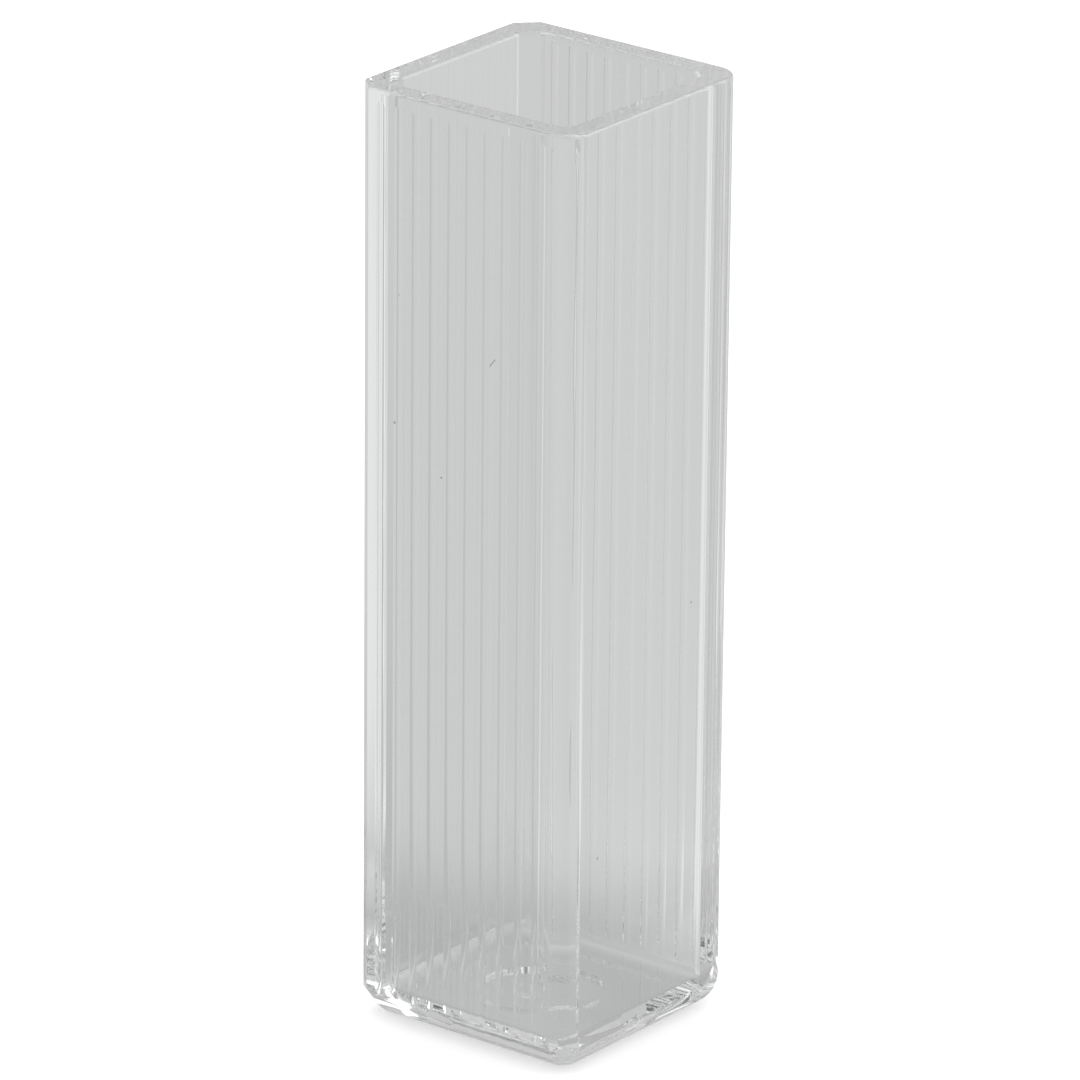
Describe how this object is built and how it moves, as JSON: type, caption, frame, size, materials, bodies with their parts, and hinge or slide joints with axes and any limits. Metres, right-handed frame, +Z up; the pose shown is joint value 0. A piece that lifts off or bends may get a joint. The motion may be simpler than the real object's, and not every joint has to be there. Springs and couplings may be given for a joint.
{
  "type": "cuvette",
  "caption": "Square disposable cuvette, open at the top, with two clear windows and two fluted grip faces, for holding a liquid sample in a light path.",
  "frame": {"origin": "centre of the square base, on the bench", "axes": "+Z up through the open mouth; Y is the light path, through the two windows; X crosses the two fluted grip faces; the two bevelled edges are at +Y and the two rounded ones at -Y"},
  "size_m": [0.0124, 0.0124, 0.045],
  "materials": {
    "clear_plastic": "clear, polished, colourless"
  },
  "bodies": {
    "root": {"cuvette": "clear_plastic"}
  },
  "joints": []
}
